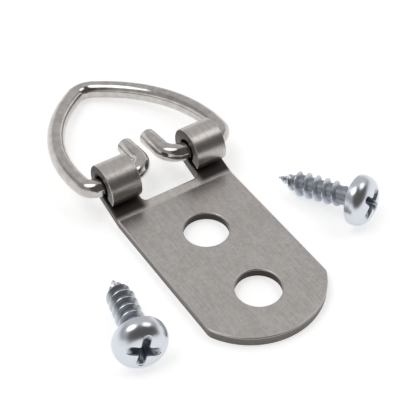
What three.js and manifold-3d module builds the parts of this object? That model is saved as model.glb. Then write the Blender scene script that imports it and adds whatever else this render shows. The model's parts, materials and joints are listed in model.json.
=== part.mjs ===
// D ring picture hanger: a strap of sheet steel whose end is rolled into two knuckles,
// a wire ring that swings in the knuckles, and the two screws that fasten the strap.
// Lengths are millimetres, +Z is up. The strap lies on its back on z = 0, and its ring
// end points towards +Y. The origin is on the back face, midway between the two holes.

import * as THREE from "three";
import { mergeVertices } from "three/addons/utils/BufferGeometryUtils.js";
import Module from "manifold-3d";

const degrees = THREE.MathUtils.degToRad;
const quarterTurn = Math.PI / 2;

// Strap
const STRAP_WIDTH = 15;
const SHEET_THICKNESS = 1.2;
const HOLE_SPACING = 10.1;
const END_TO_HOLE = 6.5;
const END_RISE = 4.6;
const END_CORNER_RADIUS = 1.2;
const HOLE_TO_NOTCH = 7.5;
const NOTCH_CORNER_RADIUS = 0.6;
const NOTCH_ROOM = 1.3;
const BEND_SETBACK = 1.4;
const BEND_INSIDE_RADIUS = 1;
const BEND_ANGLE = degrees(16);
const LIP_GAP = 0.5;

// Ring
const WIRE_DIAMETER = 2.1;
const WIRE_CLEARANCE = 0.3;
const RING_REACH = 20;
const RING_SIDE_GAP = 0.65;
const SHOULDER_HEIGHT = 3.5;
const TIP_INSIDE_RADIUS = 1.2;
const HORN_REACH = 5.3;
const HORN_GAP = 0.9;
const HORN_BEND_INSIDE_RADIUS = 1.1;

// Screws
const THREAD_DIAMETER = 3;
const THREAD_DEPTH = 0.45;
const THREAD_PITCH = 1.2;
const THREAD_BASE_WIDTH = 0.62;
const THREAD_CREST_WIDTH = 0.12;
const THREAD_ROOT_SINK = 0.15;
const HOLE_CLEARANCE = 2.1;
const SCREW_LENGTH = 10;
const POINT_LENGTH = 2.8;
const POINT_RADIUS = 0.12;
const HEAD_OVERLAP = 0.35;
const HEAD_HEIGHT = 2.15;
const HEAD_EDGE_HEIGHT = 0.55;
const HEAD_EDGE_SOFTENING = 0.25;
const RECESS_SPAN = 3.3;
const RECESS_FLOOR_SPAN = 1.2;
const RECESS_WIDTH = 0.85;
const RECESS_DEPTH = 1.45;

// How round the head's dome is, and where round the shank its thread starts
const domeShare = 0.6;
const threadPhaseShare = 0.23;

// Where the loose screws lie: beside the ring's path, one on each side, each with its
// middle at a share of the hole spacing along the strap
const SCREW_STANDOFF = 1.2;
const screwPlaces = [
  { name: "screw_left", side: -1, alongShare: -0.16, turn: degrees(-14), roll: degrees(20) },
  { name: "screw_right", side: 1, alongShare: 0.19, turn: degrees(23), roll: degrees(55) },
];

// How far a cutting shape runs past what it cuts
const OVERRUN = 1;

// Facets
const ROLL_FACETS = 38;
const BEND_FACETS = 3;
const END_FACETS = 22;
const CORNER_FACETS = 5;
const HOLE_FACETS = 32;
const WIRE_SIDES = 16;
const WIRE_BEND_FACETS = 8;
const RING_SIDE_FACETS = 14;
const RING_TIP_FACETS = 10;
const THREAD_STEPS_PER_TURN = 18;
const HEAD_SIDES = 20;
const HEAD_DOME_FACETS = 6;

// Sizes that follow from the ones above
const strapHalf = STRAP_WIDTH / 2;
const wireRadius = WIRE_DIAMETER / 2;
const holeDiameter = THREAD_DIAMETER + HOLE_CLEARANCE;
const holeRadius = holeDiameter / 2;
const boreRadius = wireRadius + WIRE_CLEARANCE;
const knuckleRadius = boreRadius + SHEET_THICKNESS;
const hornX = (HORN_GAP + WIRE_DIAMETER) / 2;
const hornBendRadius = HORN_BEND_INSIDE_RADIUS + wireRadius;
const notchHalf = hornX + hornBendRadius;

// Places along the strap
const farHoleY = -HOLE_SPACING / 2;
const nearHoleY = HOLE_SPACING / 2;
const strapEndY = farHoleY - END_TO_HOLE;
const notchBaseY = nearHoleY + HOLE_TO_NOTCH;
const axisY = notchBaseY + NOTCH_ROOM + wireRadius;
const bendY = notchBaseY - BEND_SETBACK;
const bendCentreZ = SHEET_THICKNESS + BEND_INSIDE_RADIUS;

// The sheet rises from the bend and touches the roll, which sets the height of the axis
const riseAcross = boreRadius - BEND_INSIDE_RADIUS;
const riseAlong = (axisY - bendY + riseAcross * Math.sin(BEND_ANGLE)) / Math.cos(BEND_ANGLE);
const axisZ = bendCentreZ + riseAlong * Math.sin(BEND_ANGLE) + riseAcross * Math.cos(BEND_ANGLE);
const rollStart = BEND_ANGLE - quarterTurn;
const lipAngle = Math.acos((boreRadius - LIP_GAP) / knuckleRadius);
const rollEnd = rollStart + 2 * Math.PI - lipAngle;

// The ring droops from the axis until the tip of its wire lies on z = 0
const ringTip = RING_REACH - wireRadius;
const ringDroop = Math.asin((axisZ - wireRadius) / ringTip);

const wasm = await Module();
wasm.setup();

const nickelSatin = new THREE.MeshStandardMaterial({
  color: 0xa39d97,
  metalness: 0.9,
  roughness: 0.38,
});
const nickelBright = new THREE.MeshStandardMaterial({
  color: 0xb9b2aa,
  metalness: 1,
  roughness: 0.2,
});
const zincPlate = new THREE.MeshStandardMaterial({
  color: 0xc3cad6,
  metalness: 0.95,
  roughness: 0.3,
});

// Points of an arc, both ends included
function arc(centreX, centreY, radius, from, to, facets) {
  return Array.from({ length: facets + 1 }, (_, i) => {
    const angle = from + ((to - from) * i) / facets;
    const x = centreX + radius * Math.cos(angle);
    const y = centreY + radius * Math.sin(angle);
    return new THREE.Vector2(x, y);
  });
}

function mirrored(points) {
  return points.map((point) => new THREE.Vector2(-point.x, point.y)).reverse();
}

// A closed solid for joining and cutting, from a three.js geometry
function solid(geometry) {
  const bare = geometry.clone();
  bare.deleteAttribute("normal");
  bare.deleteAttribute("uv");
  const merged = mergeVertices(bare);
  const vertProperties = new Float32Array(merged.attributes.position.array);
  const triVerts = new Uint32Array(merged.index.array);
  return new wasm.Manifold(new wasm.Mesh({ numProp: 3, vertProperties, triVerts }));
}

function geometryOf(body) {
  const mesh = body.getMesh();
  const geometry = new THREE.BufferGeometry();
  geometry.setAttribute("position", new THREE.BufferAttribute(mesh.vertProperties, mesh.numProp));
  geometry.setIndex(new THREE.BufferAttribute(mesh.triVerts, 1));
  geometry.computeVertexNormals();
  return geometry;
}

function prism(outline, depth, holes = []) {
  const shape = new THREE.Shape(outline);
  shape.holes = holes.map((points) => new THREE.Path(points));
  return new THREE.ExtrudeGeometry(shape, { depth, bevelEnabled: false });
}

// Side view of the sheet, y along and z up: flat, bent up, then rolled over the front
function sheetProfile() {
  const back = [
    new THREE.Vector2(strapEndY, 0),
    ...arc(bendY, bendCentreZ, bendCentreZ, -quarterTurn, rollStart, BEND_FACETS),
    ...arc(axisY, axisZ, knuckleRadius, rollStart, rollEnd, ROLL_FACETS),
  ];
  const front = [
    ...arc(axisY, axisZ, boreRadius, rollEnd, rollStart, ROLL_FACETS),
    ...arc(bendY, bendCentreZ, BEND_INSIDE_RADIUS, rollStart, -quarterTurn, BEND_FACETS),
    new THREE.Vector2(strapEndY, SHEET_THICKNESS),
  ];
  return [...back, ...front];
}

// Right half of the round end, from the middle of the end to the side of the strap
function roundEnd() {
  const endRadius = (strapHalf ** 2 + END_RISE ** 2) / (2 * END_RISE);
  const endCentreY = strapEndY + endRadius;
  const cornerX = strapHalf - END_CORNER_RADIUS;
  const toCorner = endRadius - END_CORNER_RADIUS;
  const cornerDrop = Math.sqrt(toCorner ** 2 - cornerX ** 2);
  const meet = -Math.atan2(cornerDrop, cornerX);
  const cornerY = endCentreY - cornerDrop;
  return [
    ...arc(0, endCentreY, endRadius, -quarterTurn, meet, END_FACETS / 2),
    ...arc(cornerX, cornerY, END_CORNER_RADIUS, meet, 0, CORNER_FACETS).slice(1),
  ];
}

// Right half of the notch, from the top of the strap down to the middle of its base
function notchSide(topY) {
  const cornerX = notchHalf - NOTCH_CORNER_RADIUS;
  const cornerY = notchBaseY + NOTCH_CORNER_RADIUS;
  return [
    new THREE.Vector2(strapHalf, topY),
    new THREE.Vector2(notchHalf, topY),
    ...arc(cornerX, cornerY, NOTCH_CORNER_RADIUS, 0, -quarterTurn, CORNER_FACETS),
  ];
}

// The notch is cut in the flat blank, so nothing of the roll is left between the knuckles.
// The block that takes it away starts above the front face of the sheet at the notch.
function betweenKnuckles() {
  const along = notchBaseY - bendY;
  const faceRise = (along * Math.sin(BEND_ANGLE) - BEND_INSIDE_RADIUS) / Math.cos(BEND_ANGLE);
  const bottom = bendCentreZ + faceRise + LIP_GAP / 2;
  const top = axisZ + knuckleRadius + OVERRUN;
  const length = 2 * (knuckleRadius + OVERRUN);
  const block = new THREE.BoxGeometry(2 * notchHalf, length, top - bottom);
  block.translate(0, axisY, (top + bottom) / 2);
  return block;
}

function holeOutline(y) {
  return arc(0, y, holeRadius, 0, 2 * Math.PI, HOLE_FACETS).slice(1);
}

function strapGeometry() {
  const right = [...roundEnd(), ...notchSide(axisY + knuckleRadius + OVERRUN)];
  const left = mirrored(right).slice(0, -1);
  const holes = [farHoleY, nearHoleY].map(holeOutline);
  const plan = prism([...right, ...left], axisZ + knuckleRadius + 2 * OVERRUN, holes);
  plan.translate(0, 0, -OVERRUN);

  const sheet = prism(sheetProfile(), STRAP_WIDTH + 2 * OVERRUN);
  const sideways = new THREE.Matrix4().makeBasis(
    new THREE.Vector3(0, 1, 0),
    new THREE.Vector3(0, 0, 1),
    new THREE.Vector3(1, 0, 0),
  );
  sheet.applyMatrix4(sideways);
  sheet.translate(-strapHalf - OVERRUN, 0, 0);
  const cut = solid(sheet).intersect(solid(plan)).subtract(solid(betweenKnuckles()));
  return geometryOf(cut);
}

// A path that keeps the stations it is given, so bends can be finer than straights
class WirePath extends THREE.Curve {
  constructor(stations) {
    super();
    this.stations = stations;
  }

  getPoint(t, target = new THREE.Vector3()) {
    const place = t * (this.stations.length - 1);
    const index = Math.min(Math.floor(place), this.stations.length - 2);
    return target.lerpVectors(this.stations[index], this.stations[index + 1], place - index);
  }

  getPointAt(u, target) {
    return this.getPoint(u, target);
  }

  getTangentAt(u, target = new THREE.Vector3()) {
    const last = this.stations.length - 1;
    const index = Math.round(u * last);
    const here = this.stations[index];
    const before = this.stations[Math.max(index - 1, 0)];
    const after = this.stations[Math.min(index + 1, last)];
    const arriving = new THREE.Vector3().subVectors(here, before).normalize();
    const leaving = new THREE.Vector3().subVectors(after, here).normalize();
    return target.addVectors(arriving, leaving).normalize();
  }
}

// Right half of the ring's centreline, from the cut end of its horn to the tip. The horn
// turns down into the notch, the wire runs through the knuckle and turns up at the strap's
// edge, and a long side arc, widest at the shoulder, meets a tight arc at the tip. Arcs
// that meet have their centres in line with the point where they touch.
function ringHalf() {
  const sideX = strapHalf + RING_SIDE_GAP + wireRadius;
  const tipRadius = TIP_INSIDE_RADIUS + wireRadius;
  const tipY = ringTip - tipRadius;
  const rise = tipY - SHOULDER_HEIGHT;
  const sideRadius = (sideX ** 2 + rise ** 2 - tipRadius ** 2) / (2 * (sideX - tipRadius));
  const sideCentreX = sideX - sideRadius;
  const sideEnd = Math.atan2(rise, -sideCentreX);

  const across = strapHalf - sideCentreX;
  const spare = sideRadius ** 2 - across ** 2 - SHOULDER_HEIGHT ** 2;
  const cornerRadius = spare / (2 * (sideRadius - SHOULDER_HEIGHT));
  const cornerEnd = Math.atan2(cornerRadius - SHOULDER_HEIGHT, across);
  const down = 3 * quarterTurn;
  return [
    new THREE.Vector2(hornX, HORN_REACH),
    ...arc(notchHalf, hornBendRadius, hornBendRadius, Math.PI, down, WIRE_BEND_FACETS),
    ...arc(strapHalf, cornerRadius, cornerRadius, -quarterTurn, cornerEnd, WIRE_BEND_FACETS),
    ...arc(sideCentreX, SHOULDER_HEIGHT, sideRadius, cornerEnd, sideEnd, RING_SIDE_FACETS).slice(1),
    ...arc(0, tipY, tipRadius, sideEnd, quarterTurn, RING_TIP_FACETS / 2).slice(1),
  ];
}

function ringGeometry() {
  const right = ringHalf();
  const outline = [...right, ...mirrored(right).slice(1)];
  const stations = outline.map((point) => new THREE.Vector3(point.x, point.y, 0));
  const section = new THREE.Shape(arc(0, 0, wireRadius, 0, 2 * Math.PI, WIRE_SIDES).slice(1));
  const extrudePath = new WirePath(stations);
  return new THREE.ExtrudeGeometry(section, { steps: stations.length - 1, extrudePath });
}

// Radius of the thread's crest at a distance from the head: full, then down to the point
function crestRadius(along) {
  const toPoint = Math.max(SCREW_LENGTH - along, 0);
  const fullness = Math.min(toPoint / POINT_LENGTH, 1);
  return POINT_RADIUS + (THREAD_DIAMETER / 2 - POINT_RADIUS) * fullness;
}

// Pan head, shank and point turned about +Y, with the head's underside at y = 0
function screwBlank() {
  const headRadius = holeRadius + HEAD_OVERLAP;
  const rootRadius = THREAD_DIAMETER / 2 - THREAD_DEPTH;
  const domeRise = HEAD_HEIGHT - HEAD_EDGE_HEIGHT;
  const dome = Array.from({ length: HEAD_DOME_FACETS }, (_, i) => {
    const angle = quarterTurn * (1 - (i + 1) / HEAD_DOME_FACETS);
    const radius = headRadius * Math.cos(angle) ** domeShare;
    return new THREE.Vector2(radius, -HEAD_EDGE_HEIGHT - domeRise * Math.sin(angle));
  });
  const profile = [
    new THREE.Vector2(0, -HEAD_HEIGHT),
    ...dome,
    new THREE.Vector2(headRadius, -HEAD_EDGE_SOFTENING),
    new THREE.Vector2(headRadius - HEAD_EDGE_SOFTENING, 0),
    new THREE.Vector2(rootRadius, 0),
    new THREE.Vector2(rootRadius, SCREW_LENGTH - POINT_LENGTH),
    new THREE.Vector2(POINT_RADIUS, SCREW_LENGTH),
    new THREE.Vector2(0, SCREW_LENGTH),
  ];
  return new THREE.LatheGeometry(profile, HEAD_SIDES);
}

// The right-hand thread: a ridge of four corners carried along a helix, with its foot sunk
// in the shank. It rises from the shank over its first turn and thins away to the point.
function threadRidge() {
  const start = THREAD_PITCH;
  const travel = SCREW_LENGTH - start - THREAD_CREST_WIDTH - THREAD_BASE_WIDTH;
  const steps = Math.round((travel / THREAD_PITCH) * THREAD_STEPS_PER_TURN);
  const positions = [];
  for (let i = 0; i <= steps; i += 1) {
    const along = start + (travel * i) / steps;
    const angle = ((i + threadPhaseShare) / THREAD_STEPS_PER_TURN) * 2 * Math.PI;
    const crest = crestRadius(along);
    const runIn = Math.min(i / THREAD_STEPS_PER_TURN, 1);
    const foot = Math.max(crest - THREAD_DEPTH - THREAD_ROOT_SINK, POINT_RADIUS / 2);
    const top = foot + (crest - foot) * runIn;
    const corners = [
      [foot, -THREAD_BASE_WIDTH / 2],
      [top, -THREAD_CREST_WIDTH / 2],
      [top, THREAD_CREST_WIDTH / 2],
      [foot, THREAD_BASE_WIDTH / 2],
    ];
    corners.forEach(([radius, offset]) => {
      positions.push(radius * Math.cos(angle), along + offset, -radius * Math.sin(angle));
    });
  }
  return sweptGeometry(positions, steps);
}

// Skin over a row of four-cornered sections, closed at both ends
function sweptGeometry(positions, steps) {
  const corners = 4;
  const index = [];
  for (let i = 0; i < steps; i += 1) {
    for (let j = 0; j < corners; j += 1) {
      const a = i * corners + j;
      const b = i * corners + ((j + 1) % corners);
      index.push(a, a + corners, b, b, a + corners, b + corners);
    }
  }
  const last = steps * corners;
  index.push(0, 1, 2, 0, 2, 3);
  index.push(last, last + 2, last + 1, last, last + 3, last + 2);
  const geometry = new THREE.BufferGeometry();
  geometry.setAttribute("position", new THREE.Float32BufferAttribute(positions, 3));
  geometry.setIndex(index);
  return geometry;
}

// One wing of the cross recess: a tapered slot that opens at the top of the head
function recessWing() {
  const outline = [
    new THREE.Vector2(-RECESS_SPAN / 2, -HEAD_HEIGHT),
    new THREE.Vector2(-RECESS_SPAN / 2, -HEAD_HEIGHT - OVERRUN),
    new THREE.Vector2(RECESS_SPAN / 2, -HEAD_HEIGHT - OVERRUN),
    new THREE.Vector2(RECESS_SPAN / 2, -HEAD_HEIGHT),
    new THREE.Vector2(RECESS_FLOOR_SPAN / 2, RECESS_DEPTH - HEAD_HEIGHT),
    new THREE.Vector2(-RECESS_FLOOR_SPAN / 2, RECESS_DEPTH - HEAD_HEIGHT),
  ];
  const wing = prism(outline, RECESS_WIDTH);
  wing.translate(0, 0, -RECESS_WIDTH / 2);
  return wing;
}

function screwGeometry() {
  const threaded = solid(screwBlank()).add(solid(threadRidge()));
  const recess = solid(recessWing()).add(solid(recessWing().rotateY(quarterTurn)));
  return geometryOf(threaded.subtract(recess));
}

function namedMesh(name, geometry, material) {
  const mesh = new THREE.Mesh(geometry, material);
  mesh.name = name;
  return mesh;
}

// A screw on its side: the rim of its head and the last full thread touch z = 0, and its
// nearest point keeps the standoff from the ring's path
function layScrew(mesh, place) {
  const headRadius = holeRadius + HEAD_OVERLAP;
  const straight = SCREW_LENGTH - POINT_LENGTH;
  const tilt = Math.atan2(headRadius - THREAD_DIAMETER / 2, straight);
  const ringEdge = strapHalf + RING_SIDE_GAP + WIRE_DIAMETER;
  mesh.rotation.set(-tilt, place.roll, place.turn, "ZXY");
  mesh.updateMatrixWorld();
  const box = new THREE.Box3().setFromObject(mesh, true);
  const inner = place.side > 0 ? box.min.x : box.max.x;
  const middleY = (box.min.y + box.max.y) / 2;
  mesh.position.x = place.side * (ringEdge + SCREW_STANDOFF) - inner;
  mesh.position.y = place.alongShare * HOLE_SPACING - middleY;
  mesh.position.z = -box.min.z;
}

function hanger() {
  const assembly = new THREE.Group();
  assembly.add(namedMesh("strap_plate", strapGeometry(), nickelSatin));

  const ring = namedMesh("d_ring", ringGeometry(), nickelBright);
  ring.position.set(0, axisY, axisZ);
  ring.rotation.x = -ringDroop;
  assembly.add(ring);

  const screw = screwGeometry();
  screwPlaces.forEach((place) => {
    const mesh = namedMesh(place.name, screw.clone(), zincPlate);
    layScrew(mesh, place);
    assembly.add(mesh);
  });
  return assembly;
}

export default hanger();
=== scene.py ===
# %% [markdown]
# # A D ring picture hanger
# The real hanger is one strip of sheet steel and one length of wire. The strip is blanked
# flat with two screw holes and a notch, its notched end is rolled into two knuckles, and
# the wire is bent to a ring that swings in them. Two small pan head screws fasten it.
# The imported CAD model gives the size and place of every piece. This script gives each
# piece its fine surface and its finish, and then lights and frames it.

import json
import math

import bmesh
import bpy
from mathutils import Matrix, Vector


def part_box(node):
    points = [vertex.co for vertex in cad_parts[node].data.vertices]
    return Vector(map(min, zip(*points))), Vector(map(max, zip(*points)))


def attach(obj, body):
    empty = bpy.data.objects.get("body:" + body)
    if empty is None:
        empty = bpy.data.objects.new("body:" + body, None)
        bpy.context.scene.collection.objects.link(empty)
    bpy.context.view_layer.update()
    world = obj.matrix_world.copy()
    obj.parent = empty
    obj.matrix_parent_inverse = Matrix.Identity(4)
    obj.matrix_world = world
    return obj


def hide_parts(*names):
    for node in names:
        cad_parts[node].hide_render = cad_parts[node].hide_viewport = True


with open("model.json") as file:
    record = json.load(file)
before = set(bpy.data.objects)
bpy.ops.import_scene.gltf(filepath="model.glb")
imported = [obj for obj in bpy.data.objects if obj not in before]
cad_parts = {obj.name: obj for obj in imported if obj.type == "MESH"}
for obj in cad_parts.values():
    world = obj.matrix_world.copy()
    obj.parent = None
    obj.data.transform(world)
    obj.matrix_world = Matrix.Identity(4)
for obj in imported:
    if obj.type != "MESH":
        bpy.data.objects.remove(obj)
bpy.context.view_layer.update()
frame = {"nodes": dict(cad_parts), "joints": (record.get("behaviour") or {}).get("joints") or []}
print("nodes:", ", ".join(sorted(frame["nodes"])))

# %% [markdown]
# ## Sizes
# Blender works in metres, and some of its mesh tools lose fine detail on things as small
# as a screw thread. So each piece is modelled in millimetres and scaled down when it is
# done. What the frame can tell is read from the frame: the strap's width and length, the
# axis of the ring's hinge, and where each screw lies. The rest repeats the CAD's sizes.

# %% Sizes read from the frame, in millimetres
MM = 0.001
strap_low, strap_high = (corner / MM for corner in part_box("strap_plate"))
STRAP_HALF = strap_high.x
STRAP_END = strap_low.y
hinge = next(joint for joint in frame["joints"] if joint["name"] == "ring_swing")
HINGE_Y, HINGE_Z = (place / MM for place in hinge["pos_m"][1:])
print(f"strap {2 * STRAP_HALF:.2f} mm wide, hinge at y {HINGE_Y:.2f}, z {HINGE_Z:.2f} mm")

# %% Sizes of the strap
SHEET = 1.2
HOLE_RADIUS = 2.55
HOLE_Y = 5.05
END_RISE = 4.6
END_CORNER = 1.2
NOTCH_HALF = 3.65
NOTCH_BASE_Y = 12.55
NOTCH_CORNER = 0.6
BEND_Y = 11.15
BEND_BACK_RADIUS = 2.2
BEND_ANGLE = math.radians(16)
BORE_RADIUS = 1.35
KNUCKLE_RADIUS = BORE_RADIUS + SHEET
LIP_GAP = 0.5
BURNISHED = 0.75

# %% Sizes of the ring and the screws
WIRE_RADIUS = 1.05
RING_REACH = 20
SIDE_GAP = 0.65
RING_SIDE = STRAP_HALF + SIDE_GAP + WIRE_RADIUS
SHOULDER = 3.5
TIP_INNER_RADIUS = 1.2
TIP_RADIUS = TIP_INNER_RADIUS + WIRE_RADIUS
HORN_REACH = 5.3
HORN_X = 1.5
HORN_BEND = NOTCH_HALF - HORN_X

SCREW_LENGTH = 10
THREAD_RADIUS = 1.5
ROOT_RADIUS = 1.05
PITCH = 1.2
RIDGE_BASE = 0.62
RIDGE_CREST = 0.1
POINT_LENGTH = 2.8
POINT_RADIUS = 0.12
HEAD_RADIUS = 2.9
HEAD_HEIGHT = 2.15
HEAD_EDGE = 0.55
HEAD_SOFTENING = 0.25
SCREW_TILT = math.atan2(HEAD_RADIUS - THREAD_RADIUS, SCREW_LENGTH - POINT_LENGTH)
print(f"the screws tilt {math.degrees(SCREW_TILT):.1f} degrees, resting on head and thread")

# %% [markdown]
# ## A shorthand for node trees
# A node tree is a formula drawn as boxes. Writing it box by box hides the formula, so this
# class wraps one output of a node: sums on it add Math nodes, and one method adds any
# other node. It serves the finishes and the Geometry Nodes trees alike.

# %% The wrapper
# A Mix node has sockets for every kind of value. These are its places for colours.
MIX_FACTOR, MIX_FIRST, MIX_SECOND, MIX_RESULT = 0, 6, 7, 2


class Signal:
    """One output of a node. Arithmetic on it adds Math nodes to its tree."""

    def __init__(self, tree, socket=None):
        self.tree = tree
        self.socket = socket

    def node(self, kind, settings=None, sockets=None, output=0):
        """Adds a node: its settings first, then the values or links of its sockets."""
        made = self.tree.nodes.new(kind)
        for name, value in (settings or {}).items():
            setattr(made, name, value)
        for name, value in (sockets or {}).items():
            if isinstance(value, Signal):
                self.tree.links.new(value.socket, made.inputs[name])
            else:
                made.inputs[name].default_value = value
        return Signal(self.tree, made.outputs[output] if len(made.outputs) else None)

    def maths(self, operation, *others):
        """A Math node on this value, and on others where it takes more than one."""
        values = dict(enumerate((self, *others)))
        return self.node("ShaderNodeMath", {"operation": operation}, values)

    def __add__(self, other):
        return self.maths("ADD", other)

    def __sub__(self, other):
        return self.maths("SUBTRACT", other)

    def __rsub__(self, other):
        return self.node("ShaderNodeMath", {"operation": "SUBTRACT"}, {0: other, 1: self})

    def __mul__(self, other):
        return self.maths("MULTIPLY", other)

    def __truediv__(self, other):
        return self.maths("DIVIDE", other)

    def __pow__(self, other):
        return self.maths("POWER", other)

    __radd__ = __add__
    __rmul__ = __mul__

    def clamped(self, low=0.0, high=1.0):
        return self.node("ShaderNodeClamp", {}, {"Value": self, "Min": low, "Max": high})

    def ramp(self, low, high):
        """A smooth change from 0 to 1 as this value goes from low to high."""
        places = {"Value": self, "From Min": low, "From Max": high}
        return self.node("ShaderNodeMapRange", {"interpolation_type": "SMOOTHSTEP"}, places)

    def mixed(self, first, second):
        """Colour first where this value is 0 and colour second where it is 1."""
        colours = {MIX_FACTOR: self, MIX_FIRST: first, MIX_SECOND: second}
        return self.node("ShaderNodeMix", {"data_type": "RGBA"}, colours, MIX_RESULT)

    def parts(self):
        """The three numbers of this vector."""
        split = self.node("ShaderNodeSeparateXYZ", {}, {0: self}).socket.node
        return [Signal(self.tree, socket) for socket in split.outputs]

    def scaled(self, factors):
        """This vector, with each of its numbers multiplied by its own factor."""
        values = {0: self, 1: factors}
        return self.node("ShaderNodeVectorMath", {"operation": "MULTIPLY"}, values)

    def noise(self, scale, detail=2.0, roughness=0.5, distortion=0.0):
        """Noise at this place, about 0.5 on average."""
        values = {
            "Vector": self,
            "Scale": scale,
            "Detail": detail,
            "Roughness": roughness,
            "Distortion": distortion,
        }
        return self.node("ShaderNodeTexNoise", {}, values)


print("Signal is ready: 1 - mask, a * b and a + b now make Math nodes")

# %% [markdown]
# ## Geometry Nodes from a script
# What follows a path or repeats is made by a tree with named inputs, so that its sizes can
# be read and changed in the modifier. The result is then turned into a plain mesh, because
# a finished piece carries no live tree.

# %% Starting and ending a tree


def new_tree(name, inputs):
    """A Geometry Nodes tree with these named inputs, and a Signal for each of them."""
    tree = bpy.data.node_groups.new(name, "GeometryNodeTree")
    tree.is_modifier = True
    tree.interface.new_socket("Geometry", in_out="OUTPUT", socket_type="NodeSocketGeometry")
    tree.interface.new_socket("Geometry", in_out="INPUT", socket_type="NodeSocketGeometry")
    for title, kind in inputs.items():
        tree.interface.new_socket(title, in_out="INPUT", socket_type=f"NodeSocket{kind}")
    entry = tree.nodes.new("NodeGroupInput")
    given = {socket.name: Signal(tree, socket) for socket in entry.outputs if socket.name}
    return tree, given


def end_tree(tree, geometry, material):
    """The tree's last nodes: real geometry, smooth, in its finish."""
    smooth = geometry.node("GeometryNodeSetShadeSmooth", {}, {"Geometry": geometry})
    real = geometry.node("GeometryNodeRealizeInstances", {}, {"Geometry": smooth})
    sockets = {"Geometry": real, "Material": material}
    done = geometry.node("GeometryNodeSetMaterial", {}, sockets)
    exit_node = tree.nodes.new("NodeGroupOutput")
    tree.links.new(done.socket, exit_node.inputs["Geometry"])


print("trees end in Realize Instances and Set Material")

# %% Taking a plain mesh


def link(thing):
    bpy.context.scene.collection.objects.link(thing)
    return thing


def mesh_of(thing):
    """The plain mesh that an object's modifiers make. The object itself is removed."""
    evaluated = thing.evaluated_get(bpy.context.evaluated_depsgraph_get())
    mesh = bpy.data.meshes.new_from_object(evaluated)
    bpy.data.objects.remove(thing)
    return mesh


def grown(tree, start_mesh, values):
    """The plain mesh that a tree makes from a start mesh, with these input values."""
    holder = link(bpy.data.objects.new(tree.name, start_mesh))
    modifier = holder.modifiers.new(tree.name, "NODES")
    modifier.node_group = tree
    for socket in tree.interface.items_tree:
        if socket.in_out == "INPUT" and socket.name in values:
            modifier[socket.identifier] = values[socket.name]
    return mesh_of(holder)


print("a mesh is taken from the evaluated object, and the object goes")

# %% Finishing a piece
LARGEST_FACE_ONLY = 100


def weighted(mesh):
    """The mesh with each smooth normal following its largest face, so flats stay flat."""
    holder = link(bpy.data.objects.new("weighted", mesh))
    modifier = holder.modifiers.new("normals", "WEIGHTED_NORMAL")
    modifier.weight = LARGEST_FACE_ONLY
    modifier.keep_sharp = True
    return mesh_of(holder)


def finished(name, mesh, material, place=None):
    """A finished piece: its mesh in metres, its object at the origin."""
    mesh.name = name
    mesh.transform(Matrix.Scale(MM, 4) @ (place or Matrix.Identity(4)))
    mesh.materials.clear()
    mesh.materials.append(material)
    piece = link(bpy.data.objects.new(name, mesh))
    triangles = sum(len(face.vertices) - 2 for face in mesh.polygons)
    print(f"{name}: {triangles} triangles")
    return piece


print("a finished piece is in metres, at the origin")

# %% [markdown]
# ## The camera
# The photo was taken from about 45 degrees above, through a long lens, with the strap
# running away to the upper left and its ring beyond it. The camera here stands the same
# way. Its target is the middle of what it sees, worked out from the frame's own points.

# %% Camera
LENS = 100
SENSOR = 36
VIEW_AZIMUTH = math.radians(-33)
VIEW_ELEVATION = math.radians(45)
FRAME_WIDTH = 45 * MM
CLIP_START = 0.01
CLIP_END = 20


def toward(azimuth, elevation):
    """The direction from the object to a viewer or a lamp."""
    level = math.cos(elevation)
    x, y = math.sin(azimuth) * level, -math.cos(azimuth) * level
    return Vector((x, y, math.sin(elevation)))


def middle_seen(across, upward):
    """The point in the middle of all that the camera sees, along its own two axes."""
    points = [vert.co for node in frame["nodes"].values() for vert in node.data.vertices]
    middle = Vector()
    for axis in (across, upward):
        reach = [axis.dot(p) for p in points]
        middle += axis * (min(reach) + max(reach)) / 2
    return middle


back = toward(VIEW_AZIMUTH, VIEW_ELEVATION)
turn = (-back).to_track_quat("-Z", "Y")
lens = bpy.data.cameras.new("camera")
lens.lens = LENS
lens.sensor_width = SENSOR
lens.clip_start = CLIP_START
lens.clip_end = CLIP_END
camera = link(bpy.data.objects.new("camera", lens))
aim = middle_seen(turn @ Vector((1, 0, 0)), turn @ Vector((0, 1, 0)))
camera.location = aim + back * FRAME_WIDTH * LENS / SENSOR
camera.rotation_euler = turn.to_euler()
bpy.context.scene.camera = camera
print(f"the camera stands {FRAME_WIDTH * LENS / SENSOR / MM:.0f} mm away")

# %% [markdown]
# ## Finishes
# All three metals are plated steel. Plating has no colour of its own under a lamp: it shows
# what it reflects, tinted. What tells satin nickel from bright nickel is how far fine marks
# scatter that reflection. So each finish is metal with a little colour change, and its
# grain, streaks and scuffs go into Roughness and Bump at their real size.

# %% Starting and ending a metal finish
# An Attribute node gives a vector or a number, each from an output of its own.
AS_VECTOR, AS_NUMBER = 1, 2


def new_finish(name):
    material = bpy.data.materials.new(name)
    material.use_nodes = True
    material.node_tree.nodes.clear()
    return material, Signal(material.node_tree)


def attribute(start, name, output):
    return start.node("ShaderNodeAttribute", {"attribute_name": name}, {}, output)


def end_metal(start, colour, roughness, height, depth):
    """Principled metal from a colour, a roughness and a height that is depth metres high."""
    sockets = {"Strength": 1.0, "Distance": depth, "Height": height}
    normal = start.node("ShaderNodeBump", {}, sockets)
    sockets = {"Base Color": colour, "Metallic": 1.0, "Roughness": roughness, "Normal": normal}
    shader = start.node("ShaderNodeBsdfPrincipled", {}, sockets)
    start.node("ShaderNodeOutputMaterial", {}, {"Surface": shader})


print("a finish is colour, roughness and height")
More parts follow.
